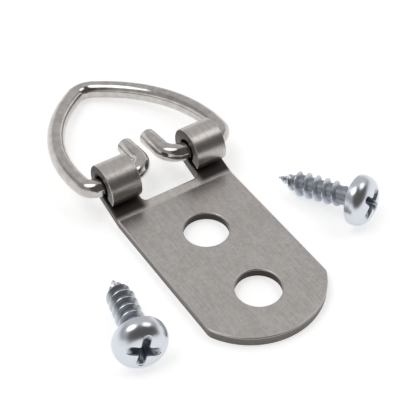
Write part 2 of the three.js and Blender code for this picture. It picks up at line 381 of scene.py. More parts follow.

# %% [markdown]
# ### Satin nickel on the strap
# The strip was rolled, so faint lines run along it. It was then tumbled and plated, which
# left a soft mottle and short scuffs. The pattern follows the flat blank, so it runs round
# the knuckles with the sheet. Where the press sheared the edge, the wall is smooth near the
# face that the punch entered and torn below, and its corners are worn bright. The walls are
# painted nearly black as painted shade, and the plate under the knuckles is painted dark as
# painted shade.

# %% Satin nickel
# The strap's place is in millimetres, so a noise's scale is its features a millimetre, and
# its stretch is how much closer they lie across the strip, along it and through it. A fade
# is the two values between which something sets in.
NICKEL_LIGHT = (0.635, 0.60, 0.575, 1)
NICKEL_DARK = (0.49, 0.46, 0.437, 1)
NICKEL_WORN = (0.54, 0.512, 0.49, 1)
# This colour is painted shade: it darkens the sheared walls nearly to black.
NICKEL_WALL_SHADE = (0.05, 0.045, 0.042, 1)
# This colour is painted shade under the knuckles, between the roll and the plate.
NICKEL_KNUCKLE_SHADE = (0.06, 0.054, 0.05, 1)
SATIN_ROUGHNESS = 0.24
SATIN_LIMITS = (0.12, 0.7)
SATIN_BUMP = 0.0035 * MM
LINE_STRETCH = (9.0, 0.35, 9.0)
SCUFF_STRETCH = (1.0, 3.4, 1.0)
TORN_STRETCH = (3.0, 3.0, 0.5)
TONE_FADE = (0.40, 0.60)
SCUFF_FADE = (0.60, 0.67)
TORN_FADE = (BURNISHED + 0.05, BURNISHED - 0.1)
# Where the painted shade under the knuckles sets in: along the strip, across it and up through
# the sheet.
KNUCKLE_SHADE_ALONG = (BEND_Y + 0.1, BEND_Y + 1.0)
KNUCKLE_SHADE_ACROSS = (NOTCH_HALF - 0.7, NOTCH_HALF + 0.5)
KNUCKLE_SHADE_HEIGHT = (SHEET * 0.6, SHEET * 0.9)


def satin_nickel():
    material, start = new_finish("satin_nickel")
    blank = attribute(start, "blank_place", AS_VECTOR)
    wall = attribute(start, "cut_wall", AS_NUMBER)
    corner = attribute(start, "worn_corner", AS_NUMBER)
    side, along, height = blank.parts()

    grain = blank.noise(scale=7.0, detail=4.0, roughness=0.62)
    mottle = blank.noise(scale=1.9, detail=3.0, roughness=0.6)
    clouds = blank.noise(scale=0.5, detail=2.0, roughness=0.5)
    lines = blank.scaled(LINE_STRETCH).noise(scale=1.0, detail=3.0, roughness=0.6)
    rubs = blank.scaled(SCUFF_STRETCH).noise(
        scale=1.3, detail=5.0, roughness=0.7, distortion=1.6
    )
    scuffs = rubs.ramp(*SCUFF_FADE)
    tears = blank.scaled(TORN_STRETCH).noise(scale=3.0, detail=3.0, roughness=0.7)
    torn = tears * wall * height.ramp(*TORN_FADE)
    # Painted shade under the knuckles, between the roll and the plate.
    knuckle_shade = (
        along.ramp(*KNUCKLE_SHADE_ALONG)
        * side.maths("ABSOLUTE").ramp(*KNUCKLE_SHADE_ACROSS)
        * height.ramp(*KNUCKLE_SHADE_HEIGHT)
    )

    tone = grain * 0.3 + mottle * 0.25 + clouds * 0.1 + lines * 0.35
    metal = tone.ramp(*TONE_FADE).mixed(NICKEL_DARK, NICKEL_LIGHT)
    # Painted shade: the sheared walls are darkened nearly to black.
    colour = wall.mixed(corner.mixed(metal, NICKEL_WORN), NICKEL_WALL_SHADE)
    # Painted shade: the plate under the knuckles is darkened.
    colour = knuckle_shade.mixed(colour, NICKEL_KNUCKLE_SHADE)
    roughness = SATIN_ROUGHNESS + grain * 0.16 + scuffs * 0.08 + torn * 0.3 + knuckle_shade * 0.2
    relief = grain * 0.5 + lines * 0.5 + torn * 3.0 - scuffs * 0.25
    end_metal(start, colour, roughness.clamped(*SATIN_LIMITS), relief, SATIN_BUMP)
    return material


satin = satin_nickel()
print("satin nickel: rolled lines, mottle, scuffs and sheared walls")

# %% [markdown]
# ### Bright nickel on the ring
# Drawn wire is smoother than rolled sheet, and its plating is bright. Its die lines run
# along the wire, and the bending tools left short rubbed patches. The pattern uses the
# place on the wire when it was still straight, so it follows every bend without a seam.

# %% Bright nickel
BRIGHT_LIGHT = (0.61, 0.585, 0.565, 1)
BRIGHT_DARK = (0.47, 0.448, 0.43, 1)
BRIGHT_ROUGHNESS = 0.09
BRIGHT_LIMITS = (0.06, 0.6)
BRIGHT_BUMP = 0.0025 * MM
DIE_LINE_STRETCH = (0.12, 5.0, 5.0)
RUB_STRETCH = (0.6, 1.2, 1.2)
RUB_FADE = (0.60, 0.70)
CLOUD_FADE = (0.35, 0.65)


def bright_nickel():
    material, start = new_finish("bright_nickel")
    wire = attribute(start, "wire_place", AS_VECTOR)
    cut = attribute(start, "cut_end", AS_NUMBER)

    die_lines = wire.scaled(DIE_LINE_STRETCH).noise(scale=1.0, detail=3.0, roughness=0.6)
    clouds = wire.noise(scale=0.9, detail=2.0, roughness=0.5)
    speckle = wire.noise(scale=6.0, detail=4.0, roughness=0.65)
    rubs = wire.scaled(RUB_STRETCH).noise(
        scale=1.1, detail=4.0, roughness=0.65, distortion=0.8
    )
    rubbed = rubs.ramp(*RUB_FADE)

    tone = clouds * 0.6 + speckle * 0.4
    colour = tone.ramp(*CLOUD_FADE).mixed(BRIGHT_DARK, BRIGHT_LIGHT)
    roughness = BRIGHT_ROUGHNESS + speckle * 0.08 + rubbed * 0.12 + cut * 0.25
    relief = die_lines * 0.6 + speckle * 0.4 + cut * speckle * 4.0
    end_metal(start, colour, roughness.clamped(*BRIGHT_LIMITS), relief, BRIGHT_BUMP)
    return material


bright = bright_nickel()
print("bright nickel: die lines, rubbed patches and dull cut ends")

# %% [markdown]
# ### Zinc on the screws
# Bright zinc with a blue passivated layer: cooler than nickel, with fine crystals and a
# faint shift of tint. The roots of the thread and the recess are duller than the crests and
# the dome, which are rubbed by whatever they touch, and are darkened with painted shade.

# %% Zinc
ZINC_LIGHT = (0.70, 0.73, 0.78, 1)
ZINC_BLUE = (0.54, 0.58, 0.65, 1)
# The root colour is painted shade for the thread's roots and the recess.
ZINC_ROOT_SHADE = (0.25, 0.27, 0.31, 1)
ZINC_ROUGHNESS = 0.16
ZINC_LIMITS = (0.1, 0.6)
ZINC_BUMP = 0.004 * MM
TINT_FADE = (0.38, 0.64)
ROOT_SHADE_SHARE = 0.9


def zinc_plate():
    material, start = new_finish("zinc_plate")
    turned = attribute(start, "turned_place", AS_VECTOR)
    sunk = attribute(start, "sunk", AS_NUMBER)

    crystals = turned.noise(scale=5.0, detail=4.0, roughness=0.7)
    clouds = turned.noise(scale=1.2, detail=3.0, roughness=0.55, distortion=0.6)
    tint = clouds.ramp(*TINT_FADE).mixed(ZINC_LIGHT, ZINC_BLUE)
    # Painted shade: the roots and the recess take the dark root colour.
    colour = (sunk * ROOT_SHADE_SHARE).mixed(tint, ZINC_ROOT_SHADE)
    roughness = ZINC_ROUGHNESS + crystals * 0.18 + sunk * 0.14
    end_metal(start, colour, roughness.clamped(*ZINC_LIMITS), crystals, ZINC_BUMP)
    return material


zinc = zinc_plate()
print("zinc: blue tint, crystals and dull roots")

# %% [markdown]
# ## The strap
# The strap could be cut from a block with booleans, but its edges would then need bevels
# that fail where the roll meets the notch. The press makes it in a better order, and so
# does this script: the blank is drawn flat, its sheared edges are softened while every
# outline still lies in one plane, and then one formula bends it and rolls its tabs.

# %% The flat blank's outline
BEND_MIDDLE = BEND_BACK_RADIUS - SHEET / 2
ROLL_MIDDLE = KNUCKLE_RADIUS - SHEET / 2
RISE_ACROSS = KNUCKLE_RADIUS - BEND_BACK_RADIUS
RISE_ALONG = (HINGE_Y - BEND_Y + RISE_ACROSS * math.sin(BEND_ANGLE)) / math.cos(BEND_ANGLE)
RISE_START = BEND_Y + BEND_MIDDLE * BEND_ANGLE
ROLL_START = RISE_START + RISE_ALONG
LIP_ANGLE = math.acos((BORE_RADIUS - LIP_GAP) / KNUCKLE_RADIUS)
ROLL_ANGLE = 2 * math.pi - LIP_ANGLE
BLANK_END = ROLL_START + ROLL_ANGLE * ROLL_MIDDLE
NOTCH_BASE = RISE_START + (NOTCH_BASE_Y - BEND_Y) / math.cos(BEND_ANGLE) - (
    BEND_MIDDLE * math.tan(BEND_ANGLE)
)
TAB_CORNER = 0.28
ARC_STEP = math.radians(7)


def arc(x, y, radius, start, end, step=ARC_STEP):
    """Points along an arc, both ends included."""
    count = max(2, math.ceil(abs(end - start) / step))
    angles = [start + (end - start) * i / count for i in range(count + 1)]
    return [(x + radius * math.cos(a), y + radius * math.sin(a)) for a in angles]


def blank_outline():
    """Once round the flat blank, anticlockwise, starting at the middle of its round end."""
    end_radius = (STRAP_HALF**2 + END_RISE**2) / (2 * END_RISE)
    end_y = STRAP_END + end_radius
    corner_x = STRAP_HALF - END_CORNER
    drop = math.sqrt((end_radius - END_CORNER) ** 2 - corner_x**2)
    meet = -math.atan2(drop, corner_x)
    quarter = math.pi / 2
    tab_y = BLANK_END - TAB_CORNER
    right = [
        *arc(0, end_y, end_radius, -quarter, meet, ARC_STEP / 2),
        *arc(corner_x, end_y - drop, END_CORNER, meet, 0)[1:],
        *arc(STRAP_HALF - TAB_CORNER, tab_y, TAB_CORNER, 0, quarter, ARC_STEP * 2),
        *arc(NOTCH_HALF + TAB_CORNER, tab_y, TAB_CORNER, quarter, math.pi, ARC_STEP * 2),
        *arc(NOTCH_HALF - NOTCH_CORNER, NOTCH_BASE + NOTCH_CORNER, NOTCH_CORNER, 0, -quarter),
    ]
    left = [(-x, y) for x, y in reversed(right[1:])]
    return right + left


print(f"the blank is {BLANK_END - STRAP_END:.1f} mm long before it is rolled")

# %% The shape of a sheared wall
# Each row is how far the wall stands back from the outline and its height in the sheet,
# from the back face to the front face.
FRONT_ROUND = 0.15
FRONT_STEP = math.radians(18)
BACK_ROUND = 0.09
BACK_STEP = math.radians(30)
TEAR_LEAN = 0.025
TEAR_RISE = 0.2
COIN_WIDTH = 0.65
COIN_DEPTH = 0.12
COIN_STEP = [(COIN_WIDTH, 0), (COIN_WIDTH - 0.03, 0.015), (COIN_WIDTH - 0.08, 0.055)]
COIN_LIP = [(0.12, COIN_DEPTH), (0.06, COIN_DEPTH + 0.02), (0.03, COIN_DEPTH + 0.07)]


def sheared_wall():
    quarter = math.pi / 2
    front_middle = SHEET - FRONT_ROUND
    back = arc(BACK_ROUND, BACK_ROUND, BACK_ROUND, -quarter, -math.pi, BACK_STEP)
    front = arc(FRONT_ROUND, front_middle, FRONT_ROUND, math.pi, quarter, FRONT_STEP)
    lean = [(TEAR_LEAN, BURNISHED - TEAR_RISE), (0, BURNISHED)]
    return [(inset + TEAR_LEAN, height) for inset, height in back] + lean + front


def hole_wall():
    """As the wall, but its back edge is coined to a shallow bright ring."""
    wall = [row for row in sheared_wall() if row[1] > 2 * COIN_DEPTH]
    return [*COIN_STEP, *COIN_LIP, *wall]


print(f"{len(sheared_wall())} rows make an edge, {len(hole_wall())} the edge of a hole")

# %% Building the blank
TINY = 0.001
MITRE_LIMIT = 0.5
# How much of a sheared wall is darkened as painted shade, round the outline and in the holes.
EDGE_WALL_SHADE = 0.8
HOLE_WALL_SHADE = 1.0


def stood_back(loop, inset):
    """A closed loop moved to its left by inset, with its corners kept sharp."""
    moved = []
    for i, (x, y) in enumerate(loop):
        before = Vector((x, y)) - Vector(loop[i - 1])
        after = Vector(loop[(i + 1) % len(loop)]) - Vector((x, y))
        first = before.normalized().orthogonal()
        second = after.normalized().orthogonal()
        middle = (first + second).normalized()
        moved.append(Vector((x, y)) + middle * inset / max(middle.dot(first), MITRE_LIMIT))
    return moved


def skin(shape, first, second):
    """A closed band of faces between two rings of points."""
    for i in range(len(first)):
        shape.faces.new((first[i - 1], first[i], second[i], second[i - 1]))


def add_wall(blank, loop, rows, tags, wall_start, shade_share):
    """Skins one edge of the sheet, and marks painted shade on it from a height up. Returns its
    end loops.
    """
    rings = []
    for inset, height in rows:
        ring = [blank.verts.new((p.x, p.y, height)) for p in stood_back(loop, inset)]
        face = height < TINY or height > SHEET - TINY
        wall = wall_start - TINY < height < SHEET - FRONT_ROUND + TINY
        for vert in ring:
            # Each wall point keeps its share of painted shade.
            vert[tags["cut_wall"]] = shade_share if wall else 0.0
            vert[tags["worn_corner"]] = 0.0 if wall or face else 1.0
        rings.append(ring)
    for lower, upper in zip(rings, rings[1:]):
        skin(blank, lower, upper)
    return rings[0], rings[-1]


def loop_edges(blank, ring):
    return [blank.edges.get((ring[i - 1], ring[i])) for i in range(len(ring))]


def flat_blank():
    blank = bmesh.new()
    tags = {name: blank.verts.layers.float.new(name) for name in ("cut_wall", "worn_corner")}
    ends = [add_wall(blank, blank_outline(), sheared_wall(), tags, BACK_ROUND, EDGE_WALL_SHADE)]
    above_coin = COIN_DEPTH + 2 * TINY
    for y in (-HOLE_Y, HOLE_Y):
        hole = arc(0, y, HOLE_RADIUS, 2 * math.pi, 0, ARC_STEP)[:-1]
        ends.append(add_wall(blank, hole, hole_wall(), tags, above_coin, HOLE_WALL_SHADE))
    for side in (0, 1):
        edges = [edge for pair in ends for edge in loop_edges(blank, pair[side])]
        bmesh.ops.triangle_fill(blank, use_beauty=True, edges=edges)
    bmesh.ops.recalc_face_normals(blank, faces=blank.faces)
    return blank


blank = flat_blank()
print(f"flat blank: {len(blank.faces)} faces")

# %% [markdown]
# ### Bending and rolling
# A long flat face can't bend where it has no edges, so the blank is first sliced across at
# every few degrees of the bend and of the roll. The formula then carries each point to its
# place. Heights in the sheet become radii, so both faces stay one sheet's thickness apart.

# %% Slicing, bending and rolling
BEND_SLICES = 5
ROLL_STEP = math.radians(4)
SLICE_SNAP = 1e-5


def slice_lines():
    bend = BEND_MIDDLE * BEND_ANGLE
    bends = [BEND_Y + bend * i / BEND_SLICES for i in range(BEND_SLICES + 1)]
    count = math.ceil(ROLL_ANGLE / ROLL_STEP)
    rolls = [ROLL_START + ROLL_ANGLE * ROLL_MIDDLE * i / count for i in range(count)]
    return bends + rolls


def rolled(place):
    """Where a point of the flat blank ends up on the finished strap."""
    x, along, height = place
    if along <= BEND_Y:
        return Vector((x, along, height))
    if along <= ROLL_START:
        turn = min((along - BEND_Y) / BEND_MIDDLE, BEND_ANGLE)
        reach = BEND_BACK_RADIUS - height
        run = max(along - RISE_START, 0)
        y = BEND_Y + reach * math.sin(turn) + run * math.cos(BEND_ANGLE)
        z = BEND_BACK_RADIUS - reach * math.cos(turn) + run * math.sin(BEND_ANGLE)
        return Vector((x, y, z))
    angle = BEND_ANGLE - math.pi / 2 + (along - ROLL_START) / ROLL_MIDDLE
    reach = KNUCKLE_RADIUS - height
    return Vector((x, HINGE_Y + reach * math.cos(angle), HINGE_Z + reach * math.sin(angle)))


def taken(shape, name):
    """A finished bmesh as a mesh. The bmesh itself is freed."""
    mesh = bpy.data.meshes.new(name)
    shape.to_mesh(mesh)
    shape.free()
    return mesh


def strap_mesh(blank):
    for along in slice_lines():
        everything = [*blank.verts, *blank.edges, *blank.faces]
        plane = {"plane_co": (0, along, 0), "plane_no": (0, 1, 0)}
        bmesh.ops.bisect_plane(blank, geom=everything, dist=SLICE_SNAP, **plane)
    flat_place = blank.verts.layers.float_vector.new("blank_place")
    for vert in blank.verts:
        vert[flat_place] = vert.co.copy()
        vert.co = rolled(vert.co)
    for face in blank.faces:
        face.smooth = True
    return taken(blank, "strap")


strap = finished("strap", weighted(strap_mesh(blank)), satin)

# %% [markdown]
# ## The ring
# A swept tube is the natural form for bent wire: a circle carried along a centreline. The
# centreline is the CAD's, made of arcs whose centres line up where they touch, with more
# points. The cut ends are broken by drawing the circle in over the last sixth of a
# millimetre, and a little noise keeps the wire from looking machined.

# %% The ring's centreline
END_BREAK = 0.16
BREAK_SHARES = (0, 0.04, 0.15, 0.4, 1)
FINE = math.radians(4)


def ring_half():
    """From the cut end of the right horn to the tip, in the ring's own plane."""
    tip_y = RING_REACH - WIRE_RADIUS - TIP_RADIUS
    rise = tip_y - SHOULDER
    side_radius = (RING_SIDE**2 + rise**2 - TIP_RADIUS**2) / (2 * (RING_SIDE - TIP_RADIUS))
    side_x = RING_SIDE - side_radius
    side_end = math.atan2(rise, -side_x)
    across = STRAP_HALF - side_x
    spare = side_radius**2 - across**2 - SHOULDER**2
    corner = spare / (2 * (side_radius - SHOULDER))
    corner_end = math.atan2(corner - SHOULDER, across)
    down = 1.5 * math.pi
    ends = [HORN_REACH - END_BREAK * share for share in BREAK_SHARES]
    return [
        *[(HORN_X, y) for y in ends],
        *arc(NOTCH_HALF, HORN_BEND, HORN_BEND, math.pi, down, FINE),
        *arc(STRAP_HALF, corner, corner, -math.pi / 2, corner_end, FINE),
        *arc(side_x, SHOULDER, side_radius, corner_end, side_end, FINE / 4)[1:],
        *arc(0, tip_y, TIP_RADIUS, side_end, math.pi / 2, FINE)[1:],
    ]


def ring_path():
    """The centreline as a mesh of edges, drooping until the tip of the ring lies flat."""
    droop = math.asin((HINGE_Z - WIRE_RADIUS) / (RING_REACH - WIRE_RADIUS))
    half = ring_half()
    outline = half + [(-x, y) for x, y in reversed(half[:-1])]
    drop, run = math.sin(droop), math.cos(droop)
    points = [(x, HINGE_Y + y * run, HINGE_Z - y * drop) for x, y in outline]
    mesh = bpy.data.meshes.new("ring_path")
    mesh.from_pydata(points, [(i, i + 1) for i in range(len(points) - 1)], [])
    return mesh


print(f"the ring's centreline has {len(ring_path().vertices)} points")

# %% The wire tree


def stored(geometry, name, value, kind="FLOAT"):
    """The geometry, with a value kept on its points under a name."""
    sockets = {"Geometry": geometry, "Name": name, "Value": value}
    return geometry.node("GeometryNodeStoreNamedAttribute", {"data_type": kind}, sockets)


def named_value(start, name, kind="FLOAT"):
    return start.node("GeometryNodeInputNamedAttribute", {"data_type": kind}, {"Name": name})


def wire_tree():
    sizes = {
        "Wire radius": "Float",
        "Sides": "Int",
        "End break": "Float",
        "Unevenness": "Float",
        "Seed": "Float",
        "Material": "Material",
    }
    tree, given = new_tree("bent_wire", sizes)
    start = Signal(tree)
    path = start.node("GeometryNodeMeshToCurve", {}, {"Mesh": given["Geometry"]})
    length = start.node("GeometryNodeSplineParameter", {}, {}, "Length")
    total = start.node("GeometryNodeSplineLength", {}, {}, "Length")

    to_end = length.maths("MINIMUM", total - length)
    short = 1 - (to_end / given["End break"]).clamped()
    drawn_in = 1 - (1 - short**2).clamped().maths("SQRT")
    radius = 1 - drawn_in * given["End break"] / given["Wire radius"]
    path = stored(path, "along", length)
    path = stored(path, "to_end", to_end)

    circle = {"Resolution": given["Sides"], "Radius": given["Wire radius"]}
    section = start.node("GeometryNodeCurvePrimitiveCircle", {"mode": "RADIUS"}, circle)
    place = start.node("GeometryNodeInputPosition")
    section = stored(section, "section_place", place, "FLOAT_VECTOR")
    sockets = {"Curve": path, "Profile Curve": section, "Scale": radius, "Fill Caps": True}
    tube = start.node("GeometryNodeCurveToMesh", {}, sockets)

    along = named_value(start, "along")
    across, upward, _ = named_value(start, "section_place", "FLOAT_VECTOR").parts()
    straight = start.node("ShaderNodeCombineXYZ", {}, {0: along, 1: across, 2: upward})
    tube = stored(tube, "wire_place", straight, "FLOAT_VECTOR")

    sockets = {0: straight, 1: given["Seed"]}
    shifted = start.node("ShaderNodeVectorMath", {"operation": "ADD"}, sockets)
    uneven = shifted.noise(scale=0.8, detail=1.0, roughness=0.4) - 0.5
    normal = start.node("GeometryNodeInputNormal")
    sockets = {"Vector": normal, "Scale": uneven * given["Unevenness"]}
    push = start.node("ShaderNodeVectorMath", {"operation": "SCALE"}, sockets)
    tube = start.node("GeometryNodeSetPosition", {}, {"Geometry": tube, "Offset": push})
    end_tree(tree, tube, given["Material"])
    return tree


print("the wire tree carries a circle along a path and draws in its ends")

# %% Growing the ring
wire_sizes = {
    "Wire radius": WIRE_RADIUS,
    "Sides": 40,
    "End break": END_BREAK,
    "Unevenness": 0.02,
    "Seed": 4.0,
    "Material": bright,
}
ring_mesh = grown(wire_tree(), ring_path(), wire_sizes)
cut_end = ring_mesh.attributes.new("cut_end", "FLOAT", "POINT")
to_end = ring_mesh.attributes["to_end"]
for mark, reach in zip(cut_end.data, to_end.data):
    mark.value = 1.0 if reach.value < END_BREAK / 2 else 0.0
ring = finished("ring", ring_mesh, bright)

# %% [markdown]
# ## The screws
# A thread is a ridge that climbs one pitch in each turn. A separate coil stuck on a rod
# would leave hidden faces inside, so the tree takes a flat grid, wraps it round the axis
# and shears it: each row climbs one pitch in one turn. Every row then follows the thread,
# so the crest is a clean line, and the radius is a formula of the row and the height.

# %% The thread tree
# A row that starts a turn is taken PAST_ROW beyond it, so that rounding can't put it in the
# turn before.
MERGE_WITHIN = 0.0005
PAST_ROW = 0.0001


def thread_tree():
    sizes = {
        "Length": "Float",
        "Pitch": "Float",
        "Root radius": "Float",
        "Thread radius": "Float",
        "Ridge base": "Float",
        "Ridge crest": "Float",
        "Point length": "Float",
        "Point radius": "Float",
        "Neck fillet": "Float",
        "Sides": "Int",
        "Rows per turn": "Int",
        "Material": "Material",
    }
    tree, given = new_tree("threaded_shank", sizes)
    start = Signal(tree)
    pitch = given["Pitch"]
    turns = given["Length"] / pitch + 1
    rows = (turns * given["Rows per turn"]).maths("CEIL")
    sockets = {
        "Size X": 1.0,
        "Size Y": 1.0,
        "Vertices X": given["Sides"] + 1,
        "Vertices Y": rows + 1,
    }
    grid = start.node("GeometryNodeMeshGrid", {}, sockets)

    across, upward, _ = start.node("GeometryNodeInputPosition").parts()
    round_share = across + 0.5
    row_turn = (upward + 0.5) * rows / given["Rows per turn"]
    along = ((row_turn + round_share - 1) * pitch).clamped(0.0, given["Length"])

    phase = (row_turn + PAST_ROW).maths("FRACT") - 0.5
    off_ridge = phase.maths("ABSOLUTE") * pitch
    flank = (given["Ridge base"] - given["Ridge crest"]) / 2
    ridge = ((given["Ridge base"] / 2 - off_ridge) / flank).clamped()
    ridge_along = along - phase * pitch
    growing = ((ridge_along - pitch) / pitch).clamped()

    full = ((given["Length"] - along) / given["Point length"]).clamped()
    root = given["Root radius"] - given["Point radius"]
    depth = given["Thread radius"] - given["Root radius"]
    fillet = given["Neck fillet"]
    short = (fillet - along).clamped(0.0, fillet)
    neck = fillet - (fillet**2 - short**2).maths("SQRT")
    radius = given["Point radius"] + full * (root + depth * ridge * growing) + neck

    angle = round_share * 2 * math.pi
    x = radius * angle.maths("COSINE")
    y = radius * angle.maths("SINE")
    turned = start.node("ShaderNodeCombineXYZ", {}, {0: x, 1: y, 2: along})
    shank = start.node("GeometryNodeSetPosition", {}, {"Geometry": grid, "Position": turned})
    sockets = {"Geometry": shank, "Distance": MERGE_WITHIN}
    merged = start.node("GeometryNodeMergeByDistance", {}, sockets)
    end_tree(tree, merged, given["Material"])
    return tree


print("the thread tree wraps and shears a grid, one pitch to a turn")

# %% Growing the threaded shank
SIDES = 64
ROWS_PER_TURN = 18
NECK_FILLET = 0.2
thread_sizes = {
    "Length": SCREW_LENGTH,
    "Pitch": PITCH,
    "Root radius": ROOT_RADIUS,
    "Thread radius": THREAD_RADIUS,
    "Ridge base": RIDGE_BASE,
    "Ridge crest": RIDGE_CREST,
    "Point length": POINT_LENGTH,
    "Point radius": POINT_RADIUS,
    "Neck fillet": NECK_FILLET,
    "Sides": SIDES,
    "Rows per turn": ROWS_PER_TURN,
    "Material": zinc,
}
shank_mesh = grown(thread_tree(), bpy.data.meshes.new("no_start"), thread_sizes)
print(f"threaded shank: {len(shank_mesh.polygons)} faces")

# %% [markdown]
# ### The head
# A pan head is turned work: one profile carried round the axis. It joins the shank on the
# ring of points where the fillet meets its underside, so head and shank are one skin.

# %% Turning the head onto the shank
DOME_STEPS = 20
DOME_POWER = 0.6
SOFTENING_STEP = math.radians(15)
UNDERSIDE_STEP = 0.3
WELD_WITHIN = 0.002


def dome_point(angle):
    """Radius and height on the head's dome, from its rim at 0 to its top at 90 degrees."""
    radius = HEAD_RADIUS * max(math.cos(angle), 0) ** DOME_POWER
    return radius, -HEAD_EDGE - (HEAD_HEIGHT - HEAD_EDGE) * math.sin(angle)


def head_profile():
    """Radius and height from the dome's top, round the rim and in to the shank's fillet."""
    quarter = math.pi / 2
    dome = [dome_point(quarter * (1 - i / DOME_STEPS)) for i in range(1, DOME_STEPS + 1)]
    middle = HEAD_RADIUS - HEAD_SOFTENING
    soft = arc(middle, -HEAD_SOFTENING, HEAD_SOFTENING, 0, quarter, SOFTENING_STEP)
    neck = ROOT_RADIUS + NECK_FILLET
    return [*dome, *soft, (neck + UNDERSIDE_STEP, 0), (neck, 0)]


def screw_blank(shank_mesh):
    """The screw before its recess, with its axis along Z and its head below z = 0."""
    screw = bmesh.new()
    screw.from_mesh(shank_mesh)
    rings = []
    for radius, height in head_profile():
        angles = [2 * math.pi * i / SIDES for i in range(SIDES)]
        ring = [(radius * math.cos(a), radius * math.sin(a), height) for a in angles]
        rings.append([screw.verts.new(p) for p in ring])
    for outer, inner in zip(rings, rings[1:]):
        skin(screw, outer, inner)
    screw.faces.new(rings[0])
    bmesh.ops.remove_doubles(screw, verts=screw.verts, dist=WELD_WITHIN)
    open_edges = [edge for edge in screw.edges if edge.is_boundary]
    bmesh.ops.holes_fill(screw, edges=open_edges)
    bmesh.ops.recalc_face_normals(screw, faces=screw.faces)
    still_open = sum(not edge.is_manifold for edge in screw.edges)
    print(f"screw blank: {len(screw.faces)} faces, {still_open} open edges")
    return taken(screw, "screw_blank")


blank_screw = screw_blank(shank_mesh)

# %% [markdown]
# ### The cross recess
# The punch that forms the recess has four tapering wings and a blunt cone for its end. Its
# solid is built as a stack of cross outlines, and a boolean takes it out of the head. Near
# the surface the outline flares and follows the dome, which leaves the soft rim of a formed
# recess.

# %% The punch and the cut
RECESS_DEPTH = 1.45
RECESS_POINT = 0.06
RECESS_STEPS = 6
WING_SPAN = 1.65
WING_HALF = 0.43
FLOOR_SPAN = 0.6
FLOOR_HALF = 0.3
INNER_FILLET = 0.22
LEAST_FILLET = 0.05
FILLET_STEP = math.radians(30)
WING_END_STEP = math.radians(12)
WING_END_SHARE = 0.6

# The first levels flare to the soft rim. Each is how far its outline grows, and how far it
# lies inside the dome. The later levels start from the last of them.
RIM_FLARE = 0.09
RIM_INSIDE = 0.07
RIM_LEVELS = ((RIM_FLARE + 0.06, -0.3), (RIM_FLARE, -0.03), (0.0, RIM_INSIDE))
PUNCH_ABOVE = 1


def cross_outline(span, half, grow=0.0):
    """A plus sign with rounded wing ends and filleted inner corners."""
    span, half = span + grow, half + grow
    fillet = max(INNER_FILLET - grow, LEAST_FILLET)
    inner = half + fillet
    quarter = math.pi / 2
    wing = [
        *arc(inner, -inner, fillet, math.pi, quarter, FILLET_STEP),
        *arc(span - half * WING_END_SHARE, 0, half, -quarter, quarter, WING_END_STEP),
    ]
    points = []
    for number in range(4):
        turn = Matrix.Rotation(number * quarter, 2)
        points += [turn @ Vector(p) for p in wing]
    return points


def dome_height(radius):
    """Height of the dome's surface at a distance from the axis."""
    share = min(radius / HEAD_RADIUS, 1) ** (1 / DOME_POWER)
    return -HEAD_EDGE - (HEAD_HEIGHT - HEAD_EDGE) * math.sqrt(1 - share**2)


def punch_levels():
    """The punch's outlines as rings of points, from above the dome down to the floor."""
    levels = []
    for grow, inside in RIM_LEVELS:
        outline = cross_outline(WING_SPAN, WING_HALF, grow)
        levels.append([(p.x, p.y, dome_height(p.length) + inside) for p in outline])
    for step in range(1, RECESS_STEPS + 1):
        share = step / RECESS_STEPS
        span = WING_SPAN + (FLOOR_SPAN - WING_SPAN) * share
        half = WING_HALF + (FLOOR_HALF - WING_HALF) * share
        depth = RECESS_DEPTH * share - HEAD_HEIGHT
        outline = cross_outline(span, half)
        edge = [dome_height(p.length) + RIM_INSIDE for p in outline]
        levels.append([(p.x, p.y, e + (depth - e) * share) for p, e in zip(outline, edge)])
    return levels


def punch_mesh():
    punch = bmesh.new()
    rings = [[punch.verts.new(p) for p in level] for level in punch_levels()]
    for upper, lower in zip(rings, rings[1:]):
        skin(punch, upper, lower)
    top = punch.verts.new((0, 0, -HEAD_HEIGHT - PUNCH_ABOVE))
    tip = punch.verts.new((0, 0, RECESS_DEPTH + RECESS_POINT - HEAD_HEIGHT))
    for pole, ring in ((top, rings[0]), (tip, rings[-1])):
        for i in range(len(ring)):
            punch.faces.new((ring[i - 1], ring[i], pole))
    bmesh.ops.recalc_face_normals(punch, faces=punch.faces)
    return taken(punch, "punch")


def cut_recess(mesh):
    punch = link(bpy.data.objects.new("punch", punch_mesh()))
    holder = link(bpy.data.objects.new("holder", mesh))
    cut = holder.modifiers.new("recess", "BOOLEAN")
    cut.operation = "DIFFERENCE"
    cut.solver = "EXACT"
    cut.object = punch
    made = mesh_of(holder)
    bpy.data.objects.remove(punch)
    return made


SHARP_ANGLE = math.radians(30)
screw_mesh = cut_recess(blank_screw)
screw_mesh.set_sharp_from_angle(angle=SHARP_ANGLE)
screw_mesh = weighted(screw_mesh)
print(f"screw: {len(screw_mesh.polygons)} faces after the recess is cut")

# %% Marks that the zinc finish reads
RECESS_SUNK = 0.75
RECESS_START = 0.05


def mark_screw(mesh):
    """Keeps each point's place on the screw, and how sunk it is in thread or recess."""
    place = mesh.attributes.new("turned_place", "FLOAT_VECTOR", "POINT")
    sunk = mesh.attributes.new("sunk", "FLOAT", "POINT")
    for i, vert in enumerate(mesh.vertices):
        x, y, z = vert.co
        radius = math.hypot(x, y)
        place.data[i].vector = vert.co
        if z > 0:
            full = min((SCREW_LENGTH - z) / POINT_LENGTH, 1)
            crest = POINT_RADIUS + (THREAD_RADIUS - POINT_RADIUS) * full
            share = (crest - radius) / (THREAD_RADIUS - ROOT_RADIUS)
            sunk.data[i].value = min(max(share, 0), 1)
        else:
            inside_dome = z > dome_height(radius) + RECESS_START
            in_recess = radius < WING_SPAN and inside_dome
            sunk.data[i].value = RECESS_SUNK if in_recess else 0.0


mark_screw(screw_mesh)
print("marked: place on the screw, and thread roots and recess")

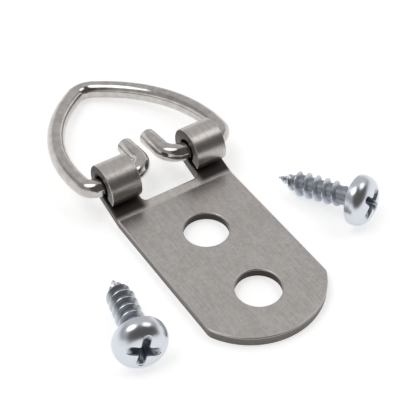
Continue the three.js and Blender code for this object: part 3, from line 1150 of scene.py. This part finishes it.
# %% [markdown]
# ### Laying the screws down
# Both screws are one mesh. Each copy is turned as its CAD node is, and it is slid along
# until its point meets the rim of the node's point, which is the outermost ring of the
# node's vertices along the screw's axis.

# %% The two screws
# How far each is turned about the vertical, and how far it is rolled about its own axis.
screw_turns = {
    "screw_left": (math.radians(-14), math.radians(20)),
    "screw_right": (math.radians(23), math.radians(55)),
}
RIM_WITHIN = POINT_RADIUS / 10


def laid_down(node):
    """The matrix that lays the upright screw where its CAD node lies, in millimetres."""
    turn, roll = screw_turns[node]
    upright = Matrix.Rotation(math.radians(-90), 4, "X")
    turned = (
        Matrix.Rotation(turn, 4, "Z")
        @ Matrix.Rotation(-SCREW_TILT, 4, "X")
        @ Matrix.Rotation(roll, 4, "Y")
        @ upright
    )
    axis = turned.to_3x3() @ Vector((0, 0, 1))
    points = [vert.co / MM for vert in frame["nodes"][node].data.vertices]
    farthest = max(axis.dot(p) for p in points)
    rim = [p for p in points if farthest - axis.dot(p) < RIM_WITHIN]
    middle = sum(rim, Vector()) / len(rim)
    return Matrix.Translation(middle - axis * SCREW_LENGTH) @ turned


screws = {}
for node in screw_turns:
    name = f"{node.split('_')[1]}_screw"
    screws[node] = finished(name, screw_mesh.copy(), zinc, laid_down(node))

# %% [markdown]
# ## What rides on what
# Each fine piece stands for its CAD node and moves with that node's body. The table also
# names the finish that it wears.

# %% Riding
dressed = {
    "strap_plate": (strap, "strap", "satin_nickel"),
    "d_ring": (ring, "ring", "bright_nickel"),
    "screw_left": (screws["screw_left"], "left_screw", "zinc_plate"),
    "screw_right": (screws["screw_right"], "right_screw", "zinc_plate"),
}
for node, (piece, body, finish) in dressed.items():
    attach(piece, body)
    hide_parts(node)
    print(f"{piece.name} stands for {node} and rides on {body}")

# %% [markdown]
# ## Floor, sky and lamps
# Metal shows what stands around it, so a plain white room would make it vanish into the
# white. A light tent's walls are white at the foot and grey above, one bright panel
# behind the object lights its flat faces, and a dark gap is left where the camera stands.
# The sky below repeats that, and two soft lamps add the highlights.

# %% Floor
WHITE = (1, 1, 1, 1)
PAPER_WHITE = (0.82, 0.82, 0.82, 1)
PAPER_GLOW = 0.55
FLOOR_SIZE = 6.0
FLOOR_DROP = 0.02 * MM


def floor_finish():
    """White paper, lifted to full white where the camera or a reflection sees it."""
    material, start = new_finish("floor")
    rays = start.node("ShaderNodeLightPath").socket.node.outputs
    kinds = ("Camera", "Glossy", "Transmission")
    direct, mirrored, refracted = (Signal(start.tree, rays[f"Is {kind} Ray"]) for kind in kinds)
    seen = direct.maths("MAXIMUM", mirrored).maths("MAXIMUM", refracted)
    paper = start.node("ShaderNodeBsdfDiffuse", {}, {"Color": PAPER_WHITE})
    sockets = {"Color": WHITE, "Strength": seen * PAPER_GLOW}
    glow = start.node("ShaderNodeEmission", {}, sockets)
    both = start.node("ShaderNodeAddShader", {}, {0: paper, 1: glow})
    start.node("ShaderNodeOutputMaterial", {}, {"Surface": both})
    return material


floor_mesh = bpy.data.meshes.new("floor")
half = FLOOR_SIZE / 2
corners = [(-half, -half), (half, -half), (half, half), (-half, half)]
floor_mesh.from_pydata([(x, y, -FLOOR_DROP) for x, y in corners], [], [(0, 1, 2, 3)])
floor_mesh.materials.append(floor_finish())
floor = link(bpy.data.objects.new("floor", floor_mesh))
print("a white floor that keeps the shadow")

# %% Sky
# The foot fades with the height of a direction, which is the sine of its elevation. The
# panel and the gap set in with the cosine of the angle to their middles.
WALL_GREY = (0.42, 0.415, 0.41, 1)
FOOT_FADE = (0.2, 0.4)
PANEL_WAY = toward(math.radians(147), math.radians(45))
PANEL_COLOUR = (0.62, 0.62, 0.62, 1)
PANEL_FADE = (0.68, 0.84)
GAP_WAY = toward(math.radians(5), math.radians(40))
GAP_COLOUR = (0.11, 0.105, 0.10, 1)
GAP_FADE = (0.50, 0.74)


def pale_sky():
    world = bpy.data.worlds.new("sky")
    world.use_nodes = True
    world.node_tree.nodes.clear()
    start = Signal(world.node_tree)
    direction = start.node("ShaderNodeTexCoord", {}, {}, "Generated")
    height = direction.parts()[2]
    colour = height.ramp(*FOOT_FADE).mixed(WHITE, WALL_GREY)
    patches = ((PANEL_WAY, PANEL_COLOUR, PANEL_FADE), (GAP_WAY, GAP_COLOUR, GAP_FADE))
    for way, tint, fade in patches:
        facing = {0: direction, 1: way}
        nearness = start.node("ShaderNodeVectorMath", {"operation": "DOT_PRODUCT"}, facing, 1)
        colour = nearness.ramp(*fade).mixed(colour, tint)
    background = start.node("ShaderNodeBackground", {}, {"Color": colour, "Strength": 1.0})
    start.node("ShaderNodeOutputWorld", {}, {"Surface": background})
    bpy.context.scene.world = world


pale_sky()
print("a tent: white foot, grey wall, one bright panel and a dark gap by the camera")

# %% Lamps
LAMP_DISTANCE = 0.5


def soft_lamp(name, azimuth, elevation, size, watts):
    """A round soft lamp that faces the object, placed by its direction in degrees."""
    light = bpy.data.lights.new(name, "AREA")
    light.shape = "DISK"
    light.size = size
    light.energy = watts
    lamp = link(bpy.data.objects.new(name, light))
    way = toward(math.radians(azimuth), math.radians(elevation))
    lamp.location = way * LAMP_DISTANCE
    lamp.rotation_euler = (-way).to_track_quat("-Z", "Y").to_euler()


soft_lamp("key_lamp", azimuth=-115, elevation=68, size=0.32, watts=0.5)
soft_lamp("side_lamp", azimuth=75, elevation=58, size=0.26, watts=0.28)
bpy.context.scene.view_settings.view_transform = "Standard"
print("two soft lamps")
